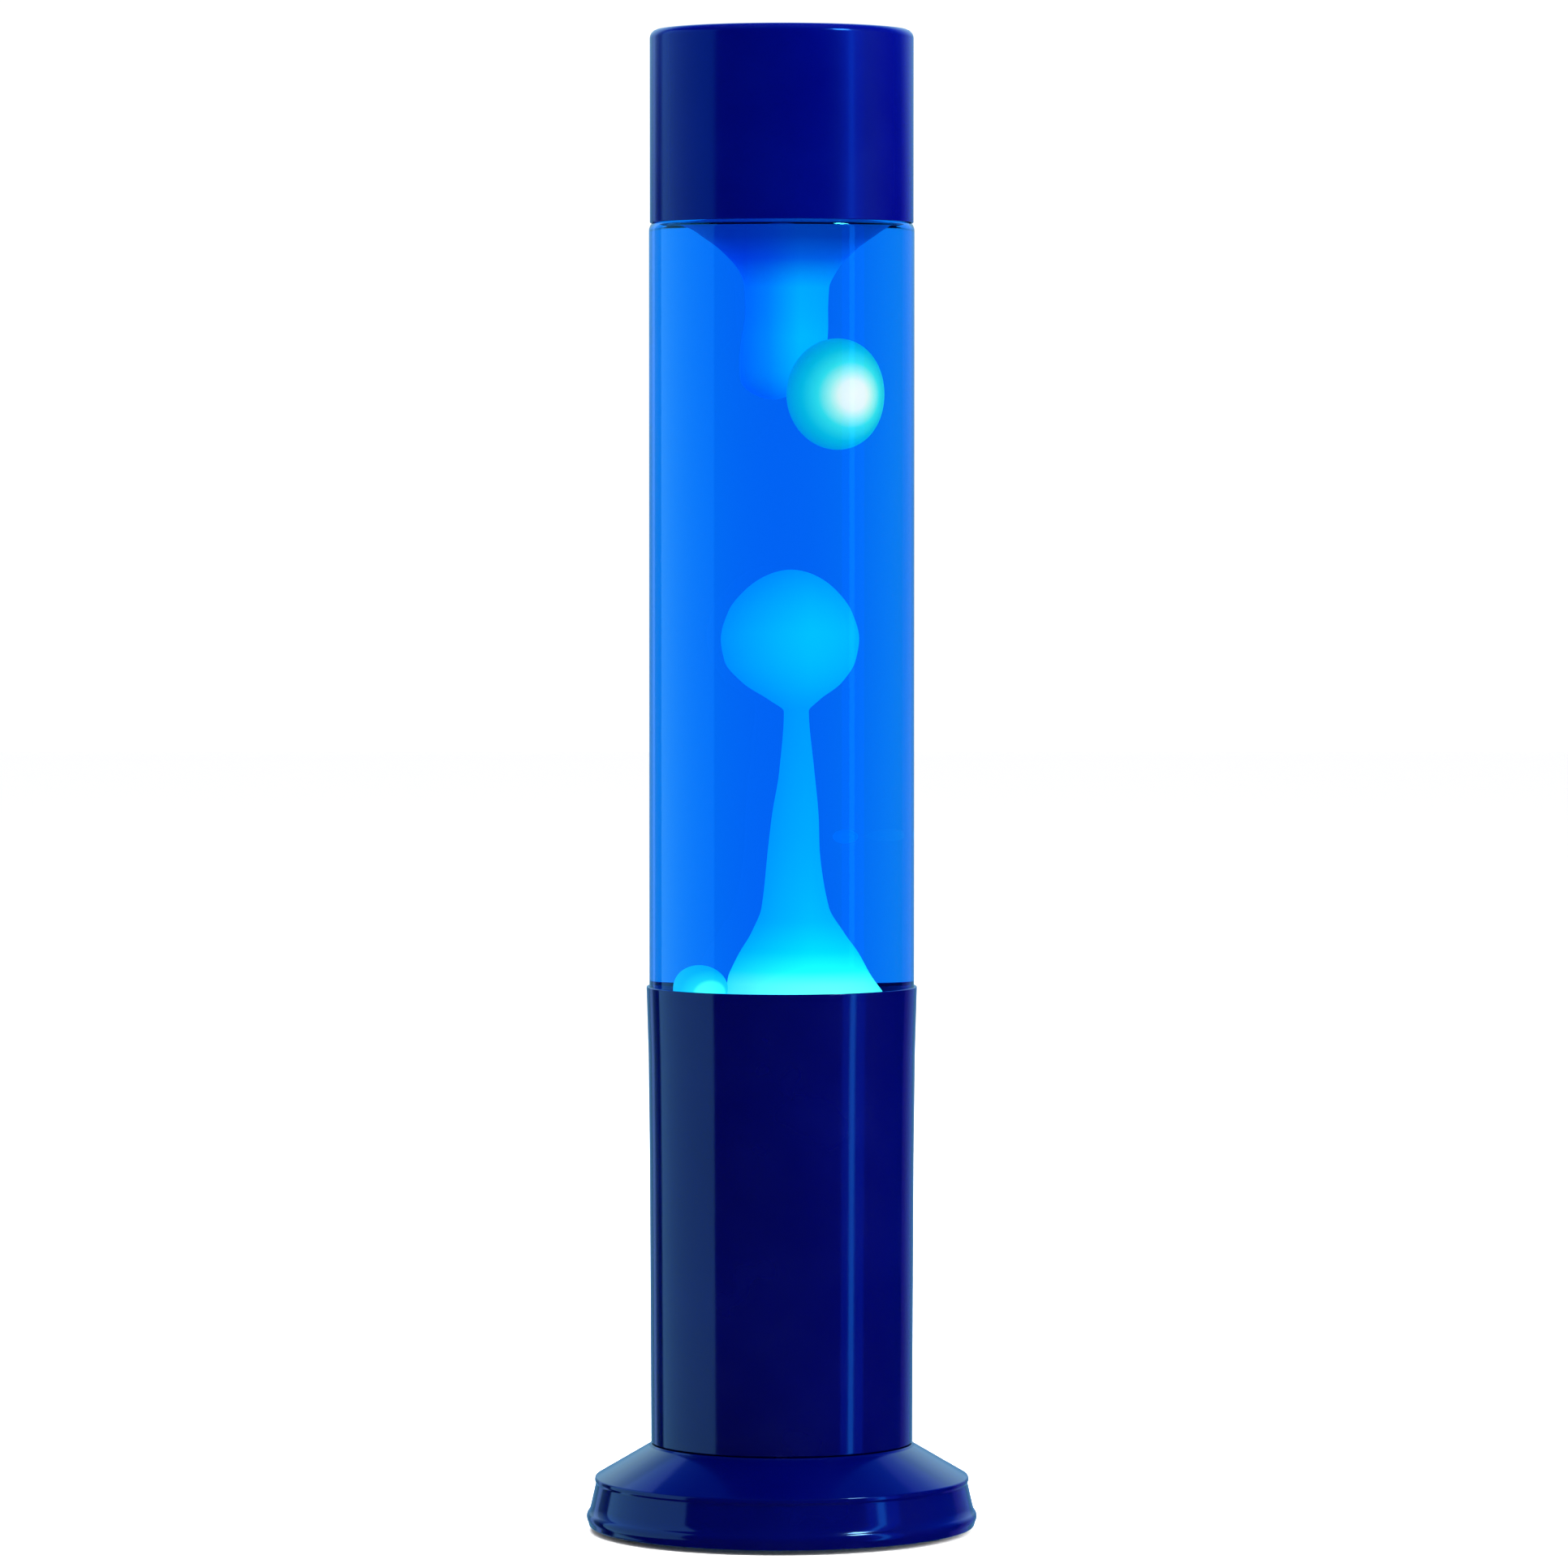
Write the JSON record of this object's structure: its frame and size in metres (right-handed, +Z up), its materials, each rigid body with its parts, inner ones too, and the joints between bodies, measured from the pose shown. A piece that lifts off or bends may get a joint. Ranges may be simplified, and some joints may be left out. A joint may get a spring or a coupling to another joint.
{
  "type": "lava lamp",
  "caption": "Cylindrical lava lamp: painted foot and tube with a reflector bulb under a lift-out bottle of liquid and wax, closed by a lift-off cap.",
  "frame": {"origin": "centre of the footprint, on the surface that the rubber feet stand on", "axes": "+Z up along the lamp's axis, +Y towards the back with the cable inlet, +X to the right as seen from the front"},
  "size_m": [0.1032, 0.1032, 0.3951],
  "materials": {
    "blue_paint": "glossy deep blue enamel on spun metal",
    "glass": "clear and polished",
    "blue_liquid": "clear blue dyed filling",
    "wax": "soft translucent glowing wax",
    "steel": "zinc-plated sheet and turned steel",
    "brass": "bare brass",
    "nickel": "bright nickel plate",
    "tungsten": "dull grey wire",
    "holder_plastic": "satin off-white thermoset",
    "steatite": "matte fired ceramic",
    "black_glass": "glossy black insulator",
    "bulb_glass": "clear front, silvered sides",
    "rubber": "soft black rubber",
    "liner_plastic": "pale sealing compound"
  },
  "bodies": {
    "base": {"base_tube": "blue_paint", "foot_shell": "blue_paint", "bottle_seat_ring": "steel", "holder_base": "holder_plastic", "holder_body": "holder_plastic", "contact_block": "steatite", "screw_shell": "brass", "centre_contact": "brass", "terminal_screw_1": "brass", "terminal_screw_2": "brass", "holder_bracket": "steel", "threaded_nipple": "brass", "nipple_nut": "steel", "base_plate": "steel", "cable_grommet": "rubber", "tie_screw_1": "steel", "tie_nut_1": "steel", "base_pillar_1": "steel", "base_screw_1": "steel", "rubber_foot_1": "rubber", "tie_screw_2": "steel", "tie_nut_2": "steel", "base_pillar_2": "steel", "base_screw_2": "steel", "rubber_foot_2": "rubber", "tie_screw_3": "steel", "tie_nut_3": "steel", "base_pillar_3": "steel", "base_screw_3": "steel", "rubber_foot_3": "rubber"},
    "bottle": {"glass_bottle": "glass", "liquid": "blue_liquid", "wax_plume": "wax", "wax_crown": "wax", "wax_bead": "wax", "heat_coil": "steel", "crown_cap": "nickel", "crown_liner": "liner_plastic"},
    "cap": {"top_cap": "blue_paint"},
    "bubble": {"wax_bubble": "wax"},
    "bulb_end": {"bulb_insulator": "black_glass", "bulb_tip_contact": "steel"},
    "bulb": {"bulb_envelope": "bulb_glass", "bulb_screw_cap": "nickel", "bulb_stem": "glass", "bulb_filament": "tungsten"}
  },
  "joints": [
    {"name": "bottle_lift", "type": "slide", "parent": "base", "child": "bottle", "axis": [0, 0, 1], "range_m": [0, 0.06]},
    {"name": "cap_lift", "type": "slide", "parent": "bottle", "child": "cap", "axis": [0, 0, 1], "range_m": [0, 0.06]},
    {"name": "bubble_drift", "type": "slide", "parent": "bottle", "child": "bubble", "axis": [0, 0, 1], "range_m": [-0.03, 0], "deforming": ["liquid"]},
    {"name": "bulb_rise", "type": "slide", "parent": "base", "child": "bulb_end", "axis": [0, 0, 1], "range_m": [0, 0.00988]},
    {"name": "bulb_turn", "type": "hinge", "parent": "bulb_end", "child": "bulb", "pos_m": [0, 0, 0.052], "axis": [0, 0, 1], "range_deg": [0, 1260]}
  ],
  "couplings": [
    {"joint": "bulb_rise", "follows": "bulb_turn", "m_per_rad": 0.00044882}
  ]
}
